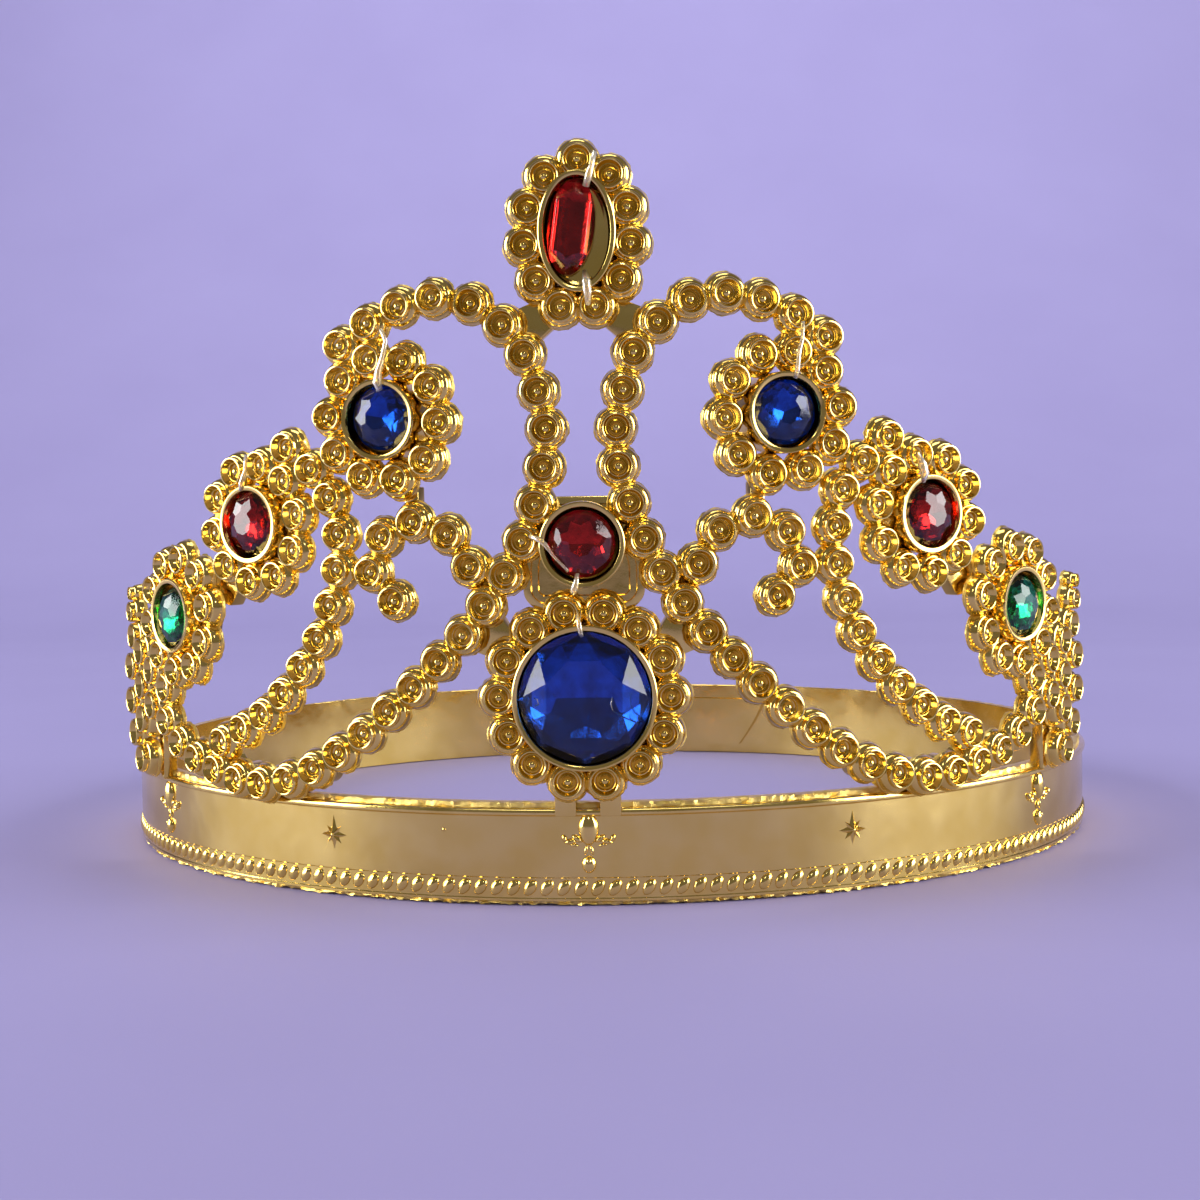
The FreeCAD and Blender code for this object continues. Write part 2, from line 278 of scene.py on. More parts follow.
ROOTED_BACK = [(0.0, 0.5, 0.0, 0), (2.1, 0.45, 0.0, 0), (2.3, 0.08, 0.0, 0), (2.5, 0.02, 0.0, 0),
               (2.6, 0.15, 0.0, 0), (2.5, 2.5, 0.0, 0), (2.8, 2.85, 0.02, 1)]
ROOTED_BELOW = 21.0
# Necks between beads; the section is shares of the half width and heights over the root
SADDLE_STEPS = 8
SADDLE_REACH = 1.5
SADDLE_WAIST = 0.75
SADDLE_FLARE = 0.55
SADDLE_SECTION = [(-1.0, 3.0), (-0.95, 3.6), (-0.5, 4.2), (0.0, 4.4), (0.5, 4.2), (0.95, 3.6),
                  (1.0, 3.0)]
SADDLE_CROWN = 4.0
SADDLE_RISE = 0.3


def bead(shell, s, z, scale=1.0, base=None, across=0.0, up=0.0):
    """Bead on the sheet, or beside the centre of a flat rosette. Low beads run back to the band,
    and small ones are lower, though less so than they are narrow."""
    place = (base or wrap(s, z, ROOT_RADIUS)) @ Matrix.Translation((across, up, 0))
    lean = Matrix.Rotation(math.radians(rng.uniform(-BEAD_LEAN, BEAD_LEAN)), 4, "X")
    lean = lean @ Matrix.Rotation(math.radians(rng.uniform(-BEAD_LEAN, BEAD_LEAN)), 4, "Y")
    shift_x = rng.uniform(-BEAD_SHIFT, BEAD_SHIFT)
    shift_y = rng.uniform(-BEAD_SHIFT, BEAD_SHIFT)
    off = Matrix.Translation((shift_x, shift_y, 0))
    back = ROOTED_BACK if z + up < ROOTED_BELOW else HOLLOW_BACK
    squash = 0.75 + 0.25 * scale
    rings = []
    for rho, h, rough, skin in back + BEAD_RINGS:
        rings.append((rho * scale, h if h < 1 else h * squash, rough, skin))
    turned(shell, rings, place @ off @ lean, BEAD_SIDES)


def spline(points, count):
    """Evenly spaced places on the smooth curve through the points."""
    p = np.array(points, float)
    t = np.concatenate([[0.0], np.cumsum(np.hypot(*np.diff(p, axis=0).T))])
    n = len(p)
    h = np.diff(t)
    system = np.eye(n)
    right = np.zeros((n, 2))
    for i in range(1, n - 1):
        system[i, i - 1:i + 2] = (h[i - 1], 2 * (h[i - 1] + h[i]), h[i])
        right[i] = 6 * ((p[i + 1] - p[i]) / h[i] - (p[i] - p[i - 1]) / h[i - 1])
    bend = np.linalg.solve(system, right)
    fine = np.linspace(0, t[-1], 60 * n)
    k = np.clip(np.searchsorted(t, fine) - 1, 0, n - 2)
    a = ((t[k + 1] - fine) / h[k])[:, None]
    b = 1 - a
    line = a * p[k] + b * p[k + 1]
    line += ((a ** 3 - a) * bend[k] + (b ** 3 - b) * bend[k + 1]) * (h[k] ** 2)[:, None] / 6
    run = np.concatenate([[0.0], np.cumsum(np.hypot(*np.diff(line, axis=0).T))])
    even = np.linspace(0, run[-1], count)
    return list(zip(np.interp(even, run, line[:, 0]), np.interp(even, run, line[:, 1])))


def ring(count, phase, radius):
    """Evenly spaced places on a circle round (0, 0)."""
    spots = []
    for k in range(count):
        a = math.radians(phase + 360.0 * k / count)
        spots.append((radius * math.cos(a), radius * math.sin(a)))
    return spots


def oval_ring():
    """Evenly spaced places on the oval, starting from its top."""
    a = np.linspace(0, 2 * math.pi, 721)
    x = OVAL_RING_HALF[0] * np.sin(a)
    y = OVAL_RING_HALF[1] * np.cos(a)
    run = np.concatenate([[0.0], np.cumsum(np.hypot(np.diff(x), np.diff(y)))])
    even = np.linspace(0, run[-1], OVAL_RING_COUNT + 1)[:-1]
    return list(zip(np.interp(even, run, x), np.interp(even, run, y)))


def rosette(shell, s, z, spots):
    """Beads that lie in one flat plane round a place on the sheet."""
    base = wrap(s, z, ROOT_RADIUS)
    for x, y in spots:
        bead(shell, s, z, base=base, across=x, up=y)


def saddle(shell, first, second):
    """Small waisted neck of gold that runs between two neighbouring beads."""
    middle = ((first[0] + second[0]) / 2, (first[1] + second[1]) / 2)
    turn = math.degrees(math.atan2(second[1] - first[1], second[0] - first[0]))
    place = wrap(middle[0], middle[1], ROOT_RADIUS, turn)
    points = []
    for k in range(SADDLE_STEPS + 1):
        x = SADDLE_REACH * (2.0 * k / SADDLE_STEPS - 1.0)
        bow = (x / SADDLE_REACH) ** 2
        waist = SADDLE_WAIST + SADDLE_FLARE * bow
        for share, h in SADDLE_SECTION:
            rise = SADDLE_RISE * bow if h > SADDLE_CROWN else 0.0
            points.append(place @ Vector((x, share * waist, h + rise)))
    n = len(SADDLE_SECTION)
    faces = []
    for k in range(SADDLE_STEPS):
        for j in range(n - 1):
            a = k * n + j
            faces.append([a, a + 1, a + n + 1, a + n])
    shell.add(points, faces)


def side_beads(shell, side):
    """Bead work of one side; side is 1 for +X and -1 for -X."""
    for points, count in ((STEM, STEM_COUNT), (ARCH, ARCH_COUNT), (SCROLL, SCROLL_COUNT),
                          (BRANCH, BRANCH_COUNT)):
        spots = [(side * s, z) for s, z in spline(points, count)]
        for s, z in spots:
            bead(shell, s, z)
        for first, second in zip(spots, spots[1:]):
            saddle(shell, first, second)
    for s, z, phase in (BLUE_RING, RED_RING, GREEN_RING):
        spots = ring(SMALL_RING_COUNT, phase, SMALL_RING_RADIUS)
        rosette(shell, side * s, z, [(side * x, y) for x, y in spots])
    spots = [(0.0, 0.0)] + ring(END_COUNT, END_PHASE, PITCH)
    rosette(shell, side * END_CENTRE[0], END_CENTRE[1], [(side * x, y) for x, y in spots])
    for s, z in END_FOOT:
        bead(shell, side * s, z)
    for s, z, scale in END_TIP:
        bead(shell, side * s, z, scale)


def middle_beads(shell):
    """Rosettes of the large stone and of the peak."""
    rosette(shell, 0.0, LARGE_RING_HEIGHT, ring(LARGE_RING_COUNT, 0.0, LARGE_RING_RADIUS))
    rosette(shell, 0.0, OVAL_RING_HEIGHT, oval_ring())


CUP_RIM = CUP_STAND + ROOT
CUP_BED = CUP_FLOOR + ROOT
CUP_BED_INSET = 1.7
CUP_BED_RINGS = 5
CUP_BED_WAVE = 0.09
# Inset from the outside and height over the root, from the foot over the rim to the floor
CUP_SECTION = [
    (0.12, 0.0), (0.0, 0.1), (0.0, CUP_RIM - 0.35), (0.06, CUP_RIM - 0.12), (0.2, CUP_RIM),
    (0.66, CUP_RIM), (0.8, CUP_RIM - 0.08), (0.88, CUP_RIM - 0.3), (0.98, CUP_BED + 0.5),
    (1.25, CUP_BED + 0.12), (CUP_BED_INSET, CUP_BED),
]


def cup(shell, s, z, half_width, half_height, sides=72):
    """Cup with a rounded rim, a step inside it and a wavy floor."""
    place = wrap(s, z, ROOT_RADIUS)
    points = []
    for inset, h in CUP_SECTION:
        for j in range(sides):
            a = 2 * math.pi * j / sides
            points.append(place @ Vector(((half_width - inset) * math.cos(a),
                                          (half_height - inset) * math.sin(a), h)))
    shell.add(points, between(len(CUP_SECTION), sides))
    shell.add(points[:sides], [list(range(sides))[::-1]])
    bed = []
    for k in range(CUP_BED_RINGS + 1):
        share = 1 - k / CUP_BED_RINGS
        for j in range(sides if k < CUP_BED_RINGS else 1):
            a = 2 * math.pi * j / sides
            x = (half_width - CUP_BED_INSET) * share * math.cos(a)
            y = (half_height - CUP_BED_INSET) * share * math.sin(a)
            wave = CUP_BED_WAVE * math.sin(0.9 * x + 0.4 * y) * math.cos(0.7 * y)
            bed.append(place @ Vector((x, y, CUP_BED + wave * (1 - share ** 2))))
    shell.add(bed, between(CUP_BED_RINGS + 1, sides, tip=True))


def rounded(outline, radius, steps=5):
    """The outline with each corner replaced by an arc."""
    result = []
    n = len(outline)
    for k in range(n):
        a, b, c = (Vector(outline[(k + d) % n]) for d in (-1, 0, 1))
        to_a = (a - b).normalized()
        to_c = (c - b).normalized()
        reach = min(radius, (a - b).length * 0.45, (c - b).length * 0.45)
        start = b + to_a * reach
        end = b + to_c * reach
        for j in range(steps + 1):
            t = j / steps
            result.append(tuple((1 - t) ** 2 * start + 2 * t * (1 - t) * b + t * t * end))
    return result


def shrunk(outline, amount):
    """The outline moved inward by an amount; it runs anticlockwise."""
    result = []
    n = len(outline)
    for k in range(n):
        a, b, c = (Vector(outline[(k + d) % n]) for d in (-1, 0, 1))
        first = (b - a).normalized() if (b - a).length > 1e-9 else (c - b).normalized()
        second = (c - b).normalized() if (c - b).length > 1e-9 else first
        inward = Vector((-first.y - second.y, first.x + second.x))
        inward = inward / max(inward.length, 1e-9)
        result.append(tuple(b + inward * amount))
    return result


def area(outline):
    """Area of the outline, below zero when it runs clockwise."""
    return sum(a[0] * b[1] - b[0] * a[1] for a, b in zip(outline, outline[1:] + outline[:1])) / 2


def web(shell, outline, stand, steps=(), corner=0.5):
    """Flat plate with softened edges. Steps are pairs of inset and height over the plate's face."""
    if area(outline) < 0:
        outline = outline[::-1]
    s0 = sum(p[0] for p in outline) / len(outline)
    z0 = sum(p[1] for p in outline) / len(outline)
    place = wrap(s0, z0, ROOT_RADIUS)
    shape = rounded([(s - s0, z - z0) for s, z in outline], corner)
    n = len(shape)
    top = ROOT + stand
    levels = [(0.1, 0.02), (0.0, 0.12), (0.0, top - 0.18), (0.06, top - 0.05), (0.2, top)]
    for inset, height in steps:
        levels += [(inset - 0.16, levels[-1][1]), (inset, top + height)]
    points = []
    for inset, h in levels:
        for x, y in shrunk(shape, inset):
            points.append(place @ Vector((x, y, h)))
    foot = list(range(n))[::-1]
    face = [(len(levels) - 1) * n + j for j in range(n)]
    shell.add(points, between(len(levels), n) + [foot, face])


LIP = FACE - LIP_INSET
FLANGE = FACE - FLANGE_INSET
RAIL = FACE - RAIL_STEP
# Rings of the band from the inside of its foot round to the same place
BAND_RINGS = [
    (BORE + 0.1, 0.12, 0.0, 0), (LIP - 0.5, 0.2, 0.15, 1), (LIP, 0.26, 0.3, 1),
    (LIP, 0.5, 0.26, 1), (FACE - 0.35, LIP_HEIGHT + 0.05, 0.05, 1),
    (FACE - 0.1, LIP_HEIGHT + 0.12, 0.0, 0), (FACE, LIP_HEIGHT + 0.2, 0.0, 0),
    (FACE, 1.15, 0.0, 0), (RAIL, 1.3, 0.0, 0), (RAIL, 4.35, 0.0, 0), (FACE, 4.5, 0.0, 0),
    (FACE, 9.0, 0.0, 0), (FACE, RIM_LOW - 0.1, 0.0, 0), (FACE + 0.18, RIM_LOW, 0.0, 0),
    (FACE + 0.42, RIM_LOW + 0.18, 0.0, 0), (FACE + RIM_STAND - 0.02, RIM_LOW + 0.5, 0.0, 0),
    (FACE + 0.36, RIM_HIGH - 0.22, 0.0, 0), (FACE + 0.05, RIM_HIGH - 0.02, 0.0, 0),
    (FACE - 0.6, RIM_HIGH, 0.0, 0), (FLANGE + 0.1, RIM_HIGH + 0.04, 0.06, 1),
    (FLANGE, RIM_HIGH + 0.35, 0.24, 1), (FLANGE - 0.05, 15.9, 0.22, 1),
    (FLANGE - 0.5, 16.0, 0.14, 1), (BORE + 0.12, 16.0, 0.02, 0), (BORE, 15.9, 0.0, 0),
    (BORE, 8.0, 0.0, 0), (BORE, 0.22, 0.0, 0), (BORE + 0.1, 0.12, 0.0, 0),
]


def band(shell):
    """Plain band with a step where the gadroons run, a rounded rim and ragged moulding edges."""
    turned(shell, BAND_RINGS, Matrix.Scale(MM, 4), BAND_SIDES)


# How far the foot of a drop lies under the surface
SUNK = 0.08


def drop(shell, place, half, point, sides, rows):
    """Half of an egg on the surface: half sizes across, along and out; point sharpens both ends."""
    points = []
    for k in range(rows + 1):
        t = math.pi / 2 * k / rows
        for j in range(sides if k < rows else 1):
            a = 2 * math.pi * j / sides
            x = half[0] * math.cos(t) * math.cos(a)
            y = half[1] * math.cos(t) * math.sin(a)
            x *= 1 - point * min(1.0, abs(y) / half[1]) ** 1.5
            points.append(place @ Vector((x, y, half[2] * math.sin(t) - SUNK)))
    shell.add(points, between(rows + 1, sides, tip=True))


def on_band(angle, z, turn=0.0, radius=FACE):
    """Placement on the band's face at an angle from the front, with local y along the turn."""
    return wrap(math.radians(angle) * PATTERN_RADIUS, z, radius, turn)


def gadroons(shell):
    """Row of slanted beads in the step near the foot of the band."""
    for k in range(GADROONS):
        place = on_band(360.0 * (k + 0.5) / GADROONS, RAIL_HEIGHT, GADROON_LEAN, RAIL)
        drop(shell, place, GADROON_HALF, 0.12, 12, 5)


# Length and half width of each ray, round from the upright one
STAR_RAYS = [(3.4, 0.6)] + [(2.1, 0.5), (2.5, 0.6)] * 3 + [(2.1, 0.5)]
STAR_RIDGE = 0.62
STAR_FOOT = -0.05
STAR_HEART = (0.5, 0.5, 0.72)


def star(shell, angle):
    """Star of eight folded rays, the longest of them upright."""
    for k in range(8):
        long, wide = STAR_RAYS[k]
        place = on_band(angle, STAR_HEIGHT, -45.0 * k)
        points = [(0, 0, STAR_RIDGE), (-wide, 0.3 * long, STAR_FOOT), (0, long, STAR_FOOT),
                  (wide, 0.3 * long, STAR_FOOT)]
        shell.add([place @ Vector(p) for p in points], [[0, 2, 1], [0, 3, 2]])
    drop(shell, on_band(angle, STAR_HEIGHT), STAR_HEART, 0.0, 12, 4)


# Place, turn and half sizes of the eggs of one arm
FLEUR_ARM = [
    (1.75, -1.5, 58, (0.5, 1.0, 0.6)), (2.8, -1.95, 100, (0.48, 0.95, 0.6)),
    (3.7, -1.5, 24, (0.42, 0.7, 0.55)), (2.2, -2.5, 80, (0.3, 0.7, 0.4)),
]
FLEUR_EGG = (1.6, 2.6, 1.1)
FLEUR_WAIST = (0.34, 0.85, 0.42)
FLEUR_WAIST_PLACE = (0.45, -3.3)
FLEUR_WAIST_TURN = 14
FLEUR_BUD = (1.12, 1.4, 0.85)
FLEUR_BUD_DROP = -5.5
FLEUR_KNOB = (0.5, 0.5, 0.65)
FLEUR_KNOB_PLACE = (0, 0.55, 0.3)


def fleur(shell, angle):
    """Egg with a curled arm on each side, a small waist and a bud below."""
    heart = on_band(angle, FLEUR_HEIGHT)
    drop(shell, heart, FLEUR_EGG, 0.12, 20, 8)
    for side in (-1, 1):
        for x, y, turn, size in FLEUR_ARM:
            step = Matrix.Translation((side * x, y, 0))
            lean = Matrix.Rotation(math.radians(-side * turn), 4, "Z")
            drop(shell, heart @ step @ lean, size, 0.2, 12, 4)
        step = Matrix.Translation((side * FLEUR_WAIST_PLACE[0], FLEUR_WAIST_PLACE[1], 0))
        lean = Matrix.Rotation(math.radians(side * FLEUR_WAIST_TURN), 4, "Z")
        drop(shell, heart @ step @ lean, FLEUR_WAIST, 0.5, 10, 4)
    bud = heart @ Matrix.Translation((0, FLEUR_BUD_DROP, 0))
    drop(shell, bud, FLEUR_BUD, 0.1, 18, 7)
    drop(shell, bud @ Matrix.Translation(FLEUR_KNOB_PLACE), FLEUR_KNOB, 0.0, 12, 5)


def lap(shell):
    """Free end of the strap inside the back of the band, cut off at a slant."""
    low = LAP_EDGE
    high = RIM_HIGH - LAP_EDGE
    reach = LAP_END - LAP_START
    columns = 40
    rows = 6
    points = []
    for depth in (0.0, LAP_WALL):
        for k in range(columns + 1):
            for j in range(rows + 1):
                z = low + (high - low) * j / rows
                slant = LAP_SLANT * (1 - j / rows) ** 1.3 * (1 - k / columns)
                angle = LAP_START + slant + (reach - slant) * k / columns
                spot = on_band(angle, z, 0.0, BORE + 0.05 - depth)
                points.append(spot.to_translation())
    n = rows + 1
    half = (columns + 1) * n
    faces = []
    for k in range(columns):
        for j in range(rows):
            a = k * n + j
            faces.append([a, a + n, a + n + 1, a + 1])
            faces.append([half + a, half + a + 1, half + a + n + 1, half + a + n])
        for j in (0, rows):
            a = k * n + j
            faces.append([a, a + n, half + a + n, half + a])
    for k in (0, columns):
        for j in range(rows):
            a = k * n + j
            faces.append([a, a + 1, half + a + 1, half + a])
    shell.add(points, faces)


# Small plates of the +X side that tie the beads together, and how far they stand out
WEBS = [
    [(11.4, 41.6), (14.6, 38.2), (18.6, 39.6), (17.4, 44.0), (13.8, 45.4)],
    [(3.6, 88.6), (8.2, 84.6), (11.6, 86.4), (10.6, 90.6), (5.6, 92.6)],
    [(64.2, 53.6), (68.6, 54.2), (71.6, 50.4), (69.0, 46.0), (66.4, 45.6), (63.6, 49.2)],
    [(92.6, 14.6), (97.4, 14.6), (97.6, 20.4), (94.6, 24.6), (92.2, 24.0)],
]
WEB_STAND = 1.0
POST = (27.9, 62.5)
POST_HALF = (1.1, 2.0)
FOOT_POST = (3.6, 17.0)
FOOT_POST_HALF = (1.65, 3.0)
FOOT_POST_STAND = 0.8
POST_CORNER = 0.3
# Plate of the centre cup, its heights over the cup's centre, and the steps sunk in its face
PLATE = [(-9.2, -8.1), (-7.2, -10.1), (7.2, -10.1), (9.2, -8.1), (9.2, -2.4), (5.4, 7.2),
         (-5.4, 7.2), (-9.2, -2.4)]
PLATE_STEPS = ((1.3, -0.25), (2.4, -0.5))
PLATE_CORNER = 1.6


def post(shell, s, z, half, stand):
    """Short upright plate."""
    outline = []
    for x, y in ((-1, -1), (1, -1), (1, 1), (-1, 1)):
        outline.append((s + x * half[0], z + y * half[1]))
    web(shell, outline, stand, corner=POST_CORNER)


def webs(shell):
    """All plates: those of both sides and the dished one of the centre cup."""
    for side in (-1, 1):
        for outline in WEBS:
            web(shell, [(side * s, z) for s, z in outline], WEB_STAND)
        post(shell, side * POST[0], POST[1], POST_HALF, WEB_STAND)
        post(shell, side * FOOT_POST[0], FOOT_POST[1], FOOT_POST_HALF, FOOT_POST_STAND)
    plate = [(s, CENTRE_CUP_HEIGHT + z) for s, z in PLATE]
    web(shell, plate, WEB_STAND, PLATE_STEPS, PLATE_CORNER)


def cut(bm, point, normal):
    """Cut off what lies beyond a plane and close the cut."""
    found = bmesh.ops.bisect_plane(bm, geom=bm.verts[:] + bm.edges[:] + bm.faces[:], dist=1e-7,
                                   plane_co=point, plane_no=normal, clear_outer=True)
    rim = [e for e in found["geom_cut"] if isinstance(e, bmesh.types.BMEdge)]
    if rim:
        bmesh.ops.edgenet_fill(bm, edges=rim)


def blank(half_width, half_height, height, sides):
    """Upright prism for a stone to be cut from."""
    bm = bmesh.new()
    base = []
    for k in range(sides):
        a = 2 * math.pi * k / sides
        base.append(bm.verts.new((half_width * math.sin(a), half_height * math.cos(a), 0.0)))
    face = bm.faces.new(base)
    top = bmesh.ops.extrude_face_region(bm, geom=[face])["geom"]
    bmesh.ops.translate(bm, verts=[v for v in top if isinstance(v, bmesh.types.BMVert)],
                        vec=(0, 0, height))
    bmesh.ops.recalc_face_normals(bm, faces=bm.faces[:])
    return bm


def facets(bm, count, phase, tilt, at, height, up=1):
    """A row of planes that fall off outward through points at one distance from the axis. With up
    at -1 they are on the back of the stone and rise outward."""
    t = math.radians(tilt)
    for k in range(count):
        a = math.radians(phase + 360.0 * k / count)
        way = Vector((math.sin(t) * math.cos(a), math.sin(t) * math.sin(a), up * math.cos(t)))
        cut(bm, Vector((at * math.cos(a), at * math.sin(a), height)), way)


def rows_of_facets(bm, front, back):
    """Rows are how many, where the first is, tilt, distance from the axis and height there."""
    for row in front:
        facets(bm, *row)
    for row in back:
        facets(bm, *row, up=-1)


def round_stone(radius):
    """Round stone with a table, three rows of facets and a pointed back."""
    height = 3.4
    bm = blank(radius, radius, height, 48)
    front = [(8, 0.0, 21.0, 1.75, height), (8, 22.5, 34.0, 3.35, 2.75),
             (16, 11.25, 50.0, radius - 0.15, 1.65)]
    back = [(8, 11.0, 12.0, 0.0, 0.0), (8, 33.5, 20.0, 3.1, 0.72)]
    rows_of_facets(bm, front, back)
    return bm


def star_stone(radius):
    """Round stone with an eight pointed star that reaches from the table to the girdle."""
    height = 4.2
    girdle = 2.2
    rise = height - girdle
    inner = 6.2
    flat = inner * math.cos(math.pi / 8)
    chord = radius * math.cos(math.pi / 8)
    main_tilt = math.degrees(math.atan2(rise, radius - flat))
    star_tilt = math.degrees(math.atan2(rise, chord - inner))
    bm = blank(radius, radius, height, 96)
    front = [(8, 90.0, main_tilt, flat, height), (8, 112.5, star_tilt, inner, height)]
    back = [(8, 112.5, 7.5, 0.0, 0.0), (8, 90.0, 14.0, 5.6, 0.85)]
    rows_of_facets(bm, front, back)
    return bm


def oval_stone(half_width, half_height):
    """Long step cut stone with cut corners."""
    height = 3.6
    bm = blank(half_width, half_height, height, 64)
    for phase in (0.0, 180.0):
        front = [(1, phase, 20.0, 0.95, height), (1, phase, 50.0, 2.5, 3.0)]
        back = [(1, phase, 12.0, 0.0, 0.0), (1, phase, 34.0, 2.0, 0.45)]
        rows_of_facets(bm, front, back)
    for phase in (90.0, 270.0):
        rows_of_facets(bm, [(1, phase, 38.0, 5.0, height)], [(1, phase, 20.0, 4.6, 0.2)])
        corners = [(1, phase + lean, 44.0, 4.8, 2.7) for lean in (-38.0, 38.0)]
        rows_of_facets(bm, corners, [])
    return bm


def stone_piece(name, bm, place, materials, edge=0.0):
    """The first material is the stone and the second is the foil on its back. Corners that the cuts
    leave on top of each other are welded, and then the edges are softened by the width of edge."""
    mesh = bpy.data.meshes.new(name)
    bmesh.ops.remove_doubles(bm, verts=bm.verts[:], dist=STONE_WELD)
    if edge:
        bmesh.ops.bevel(bm, geom=bm.edges[:], offset=edge, segments=1, affect="EDGES",
                        clamp_overlap=True)
    bmesh.ops.recalc_face_normals(bm, faces=bm.faces[:])
    bm.normal_update()
    for face in bm.faces:
        face.material_index = 1 if face.normal.z < -0.5 else 0
    bm.to_mesh(mesh)
    bm.free()
    mesh.transform(place)
    for paint in materials:
        mesh.materials.append(paint)
    thing = placed(name, mesh)
    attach(thing, "root")
    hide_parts(name)


def string(shell, places, sides=10):
    """String of glue through places given as s, z, distance from the axis and half thickness."""
    spots = [wrap(s, z, radius) for s, z, radius, _ in places]
    points = []
    for k, spot in enumerate(spots):
        before = spots[max(k - 1, 0)].translation
        after = spots[min(k + 1, len(spots) - 1)].translation
        way = (after - before).normalized()
        out = (spot.to_3x3() @ Vector((0, 0, 1))).normalized()
        across = way.cross(out).normalized()
        above = across.cross(way)
        thick = places[k][3]
        for j in range(sides):
            a = 2 * math.pi * j / sides
            grow = thick * MM * rng.uniform(0.85, 1.15)
            points.append(spot.translation + across * grow * math.cos(a)
                          + above * grow * math.sin(a))
    first = list(range(sides))[::-1]
    last = [(len(spots) - 1) * sides + j for j in range(sides)]
    shell.add(points, between(len(spots), sides) + [first, last])


def material(name):
    """New material with its tree and its shader."""
    made = bpy.data.materials.new(name)
    made.use_nodes = True
    tree = made.node_tree
    return made, tree, tree.nodes["Principled BSDF"]


def noise(tree, scale, detail=3.0, rough=0.5):
    """Noise in the object's own coordinates, which all pieces share."""
    place = tree.nodes.get("Place") or tree.nodes.new("ShaderNodeTexCoord")
    place.name = "Place"
    made = tree.nodes.new("ShaderNodeTexNoise")
    made.inputs["Scale"].default_value = scale
    made.inputs["Detail"].default_value = detail
    made.inputs["Roughness"].default_value = rough
    tree.links.new(place.outputs["Object"], made.inputs["Vector"])
    return made


def ramp(tree, source, low, high):
    """Colour ramp; low and high are pairs of a position and a colour."""
    made = tree.nodes.new("ShaderNodeValToRGB")
    made.color_ramp.elements[0].position = low[0]
    made.color_ramp.elements[0].color = (*low[1], 1)
    made.color_ramp.elements[1].position = high[0]
    made.color_ramp.elements[1].color = (*high[1], 1)
    tree.links.new(source, made.inputs["Fac"])
    return made


def spread(tree, source, low, high):
    """The middle of a noise spread over a range of values."""
    made = tree.nodes.new("ShaderNodeMapRange")
    made.inputs["From Min"].default_value = 0.35
    made.inputs["From Max"].default_value = 0.65
    made.inputs["To Min"].default_value = low
    made.inputs["To Max"].default_value = high
    tree.links.new(source, made.inputs["Value"])
    return made


def bump(tree, shader, layers):
    """Bump from pairs of a height source and a depth in millimetres."""
    last = None
    for source, depth in layers:
        made = tree.nodes.new("ShaderNodeBump")
        made.inputs["Distance"].default_value = depth * MM
        tree.links.new(source, made.inputs["Height"])
        if last:
            tree.links.new(last.outputs["Normal"], made.inputs["Normal"])
        last = made
    tree.links.new(last.outputs["Normal"], shader.inputs["Normal"])


def gold(name, rough_low, rough_high, wave, grain):
    """Metallised plastic; wave and grain are bump depths in millimetres."""
    made, tree, shader = material(name)
    broad = noise(tree, 160.0, 2.0)
    fine = noise(tree, 2600.0, 4.0, 0.65)
    shader.inputs["Metallic"].default_value = 1.0
    shade = ramp(tree, broad.outputs["Fac"], (0.35, GOLD_COLOURS[0]), (0.65, GOLD_COLOURS[1]))
    tree.links.new(shade.outputs["Color"], shader.inputs["Base Color"])
    gloss = spread(tree, broad.outputs["Fac"], rough_low, rough_high)
    tree.links.new(gloss.outputs["Result"], shader.inputs["Roughness"])
    bump(tree, shader, [(broad.outputs["Fac"], wave), (fine.outputs["Fac"], grain)])
    return made


def gem(name, colours):
    """Clear tinted plastic with fine scratches."""
    made, tree, shader = material(name)
    cloud = noise(tree, 240.0, 2.0)
    shade = ramp(tree, cloud.outputs["Fac"], (0.3, colours[0]), (0.7, colours[1]))
    tree.links.new(shade.outputs["Color"], shader.inputs["Base Color"])
    shader.inputs["Transmission Weight"].default_value = 1.0
    shader.inputs["IOR"].default_value = 1.5
    scratch = noise(tree, 1400.0, 4.0, 0.7)
    gloss = spread(tree, scratch.outputs["Fac"], 0.01, 0.04)
    tree.links.new(gloss.outputs["Result"], shader.inputs["Roughness"])
    bump(tree, shader, [(scratch.outputs["Fac"], 0.002)])
    return made


def foil_material():
    """Silver foil on the backs of the stones."""
    made, tree, shader = material("foil")
    shader.inputs["Metallic"].default_value = 1.0
    crease = noise(tree, 420.0, 3.0)
    dull = tuple(0.55 * c for c in FOIL_COLOUR)
    shade = ramp(tree, crease.outputs["Fac"], (0.35, dull), (0.65, FOIL_COLOUR))
    tree.links.new(shade.outputs["Color"], shader.inputs["Base Color"])
    shader.inputs["Roughness"].default_value = 0.1
    bump(tree, shader, [(crease.outputs["Fac"], 0.02)])
    return made


def glue_material():
    made, tree, shader = material("dried_glue")
    cloud = noise(tree, 700.0, 3.0)
    shade = ramp(tree, cloud.outputs["Fac"], (0.35, GLUE_COLOURS[0]), (0.65, GLUE_COLOURS[1]))
    tree.links.new(shade.outputs["Color"], shader.inputs["Base Color"])
    shader.inputs["Roughness"].default_value = 0.25
    shader.inputs["Transmission Weight"].default_value = 0.75
    bump(tree, shader, [(cloud.outputs["Fac"], 0.08)])
    return made


def sweep_material():
    made, tree, shader = material("lavender_paper")
    cloud = noise(tree, 9.0, 3.0)
    shade = ramp(tree, cloud.outputs["Fac"], (0.3, PAPER_COLOURS[0]), (0.7, PAPER_COLOURS[1]))
    tree.links.new(shade.outputs["Color"], shader.inputs["Base Color"])
    shader.inputs["Roughness"].default_value = 0.65
    shader.inputs["Specular IOR Level"].default_value = 0.2
    fine = noise(tree, 1800.0, 2.0)
    bump(tree, shader, [(fine.outputs["Fac"], 0.02)])
    return made


